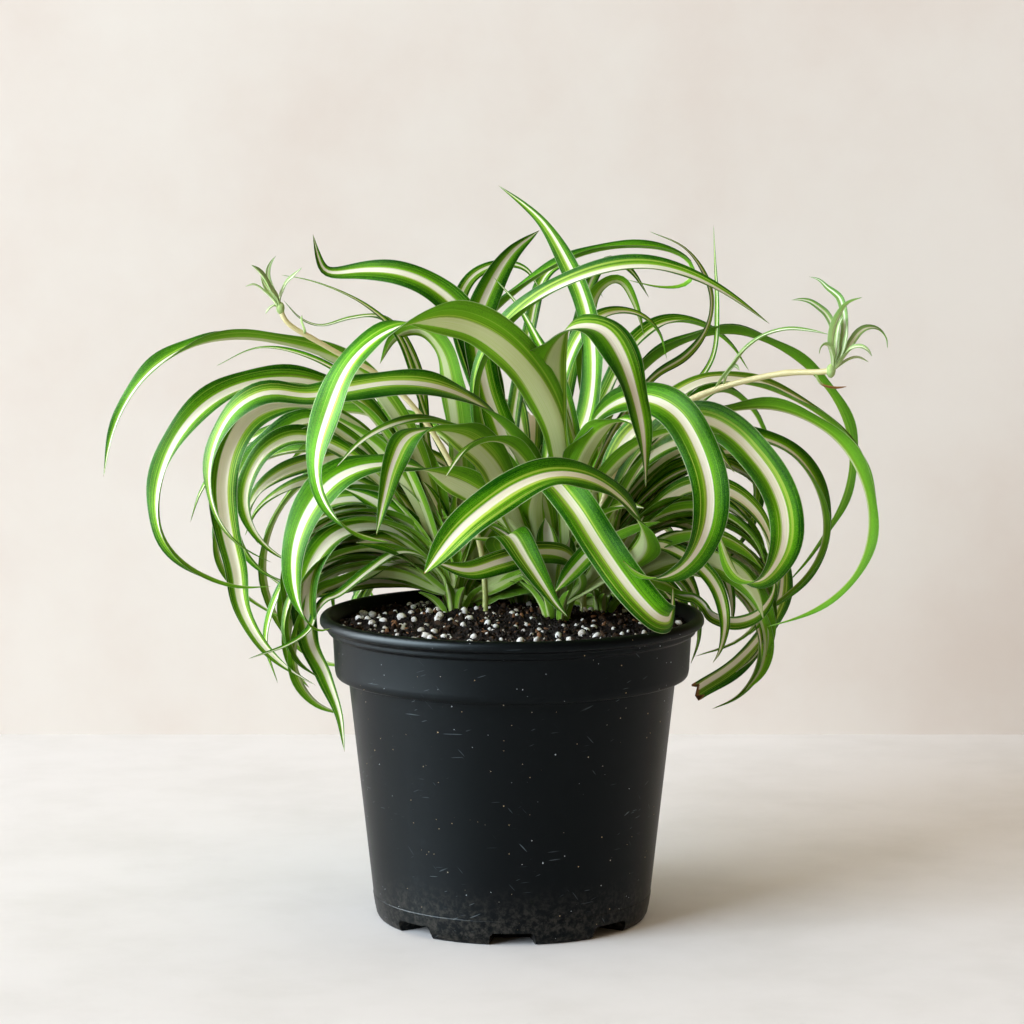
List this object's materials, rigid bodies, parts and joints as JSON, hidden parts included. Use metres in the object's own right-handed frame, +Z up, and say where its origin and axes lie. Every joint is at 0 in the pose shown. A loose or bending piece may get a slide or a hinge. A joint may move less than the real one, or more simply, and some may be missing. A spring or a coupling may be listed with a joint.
{
  "type": "potted spider plant",
  "caption": "Spider plant with arching, curling striped leaves and small plantlets on runners, in a round black nursery pot filled with potting mix.",
  "frame": {"origin": "middle of the pot's underside, on the surface it stands on", "axes": "+Z up along the pot's axis, the front of the plant toward -Y, the plant's right side toward +X"},
  "size_m": [0.3481, 0.3082, 0.3228],
  "materials": {
    "pot_plastic": "black moulded polypropylene, satin, lightly scratched",
    "potting_mix": "dark peat and bark with white perlite",
    "striped_leaf": "fresh leaf, deep green margins and a cream centre stripe",
    "runner_stem": "pale yellow wiry stem",
    "plantlet_leaf": "young pale green and white leaf"
  },
  "bodies": {
    "root": {"pot": "pot_plastic", "potting_mix": "potting_mix", "crown_front": "striped_leaf", "crown_left": "striped_leaf", "crown_right": "striped_leaf", "crown_back": "striped_leaf", "runner_right": "runner_stem", "runner_left": "runner_stem", "plantlet_right": "plantlet_leaf", "plantlet_left": "plantlet_leaf"}
  },
  "joints": []
}
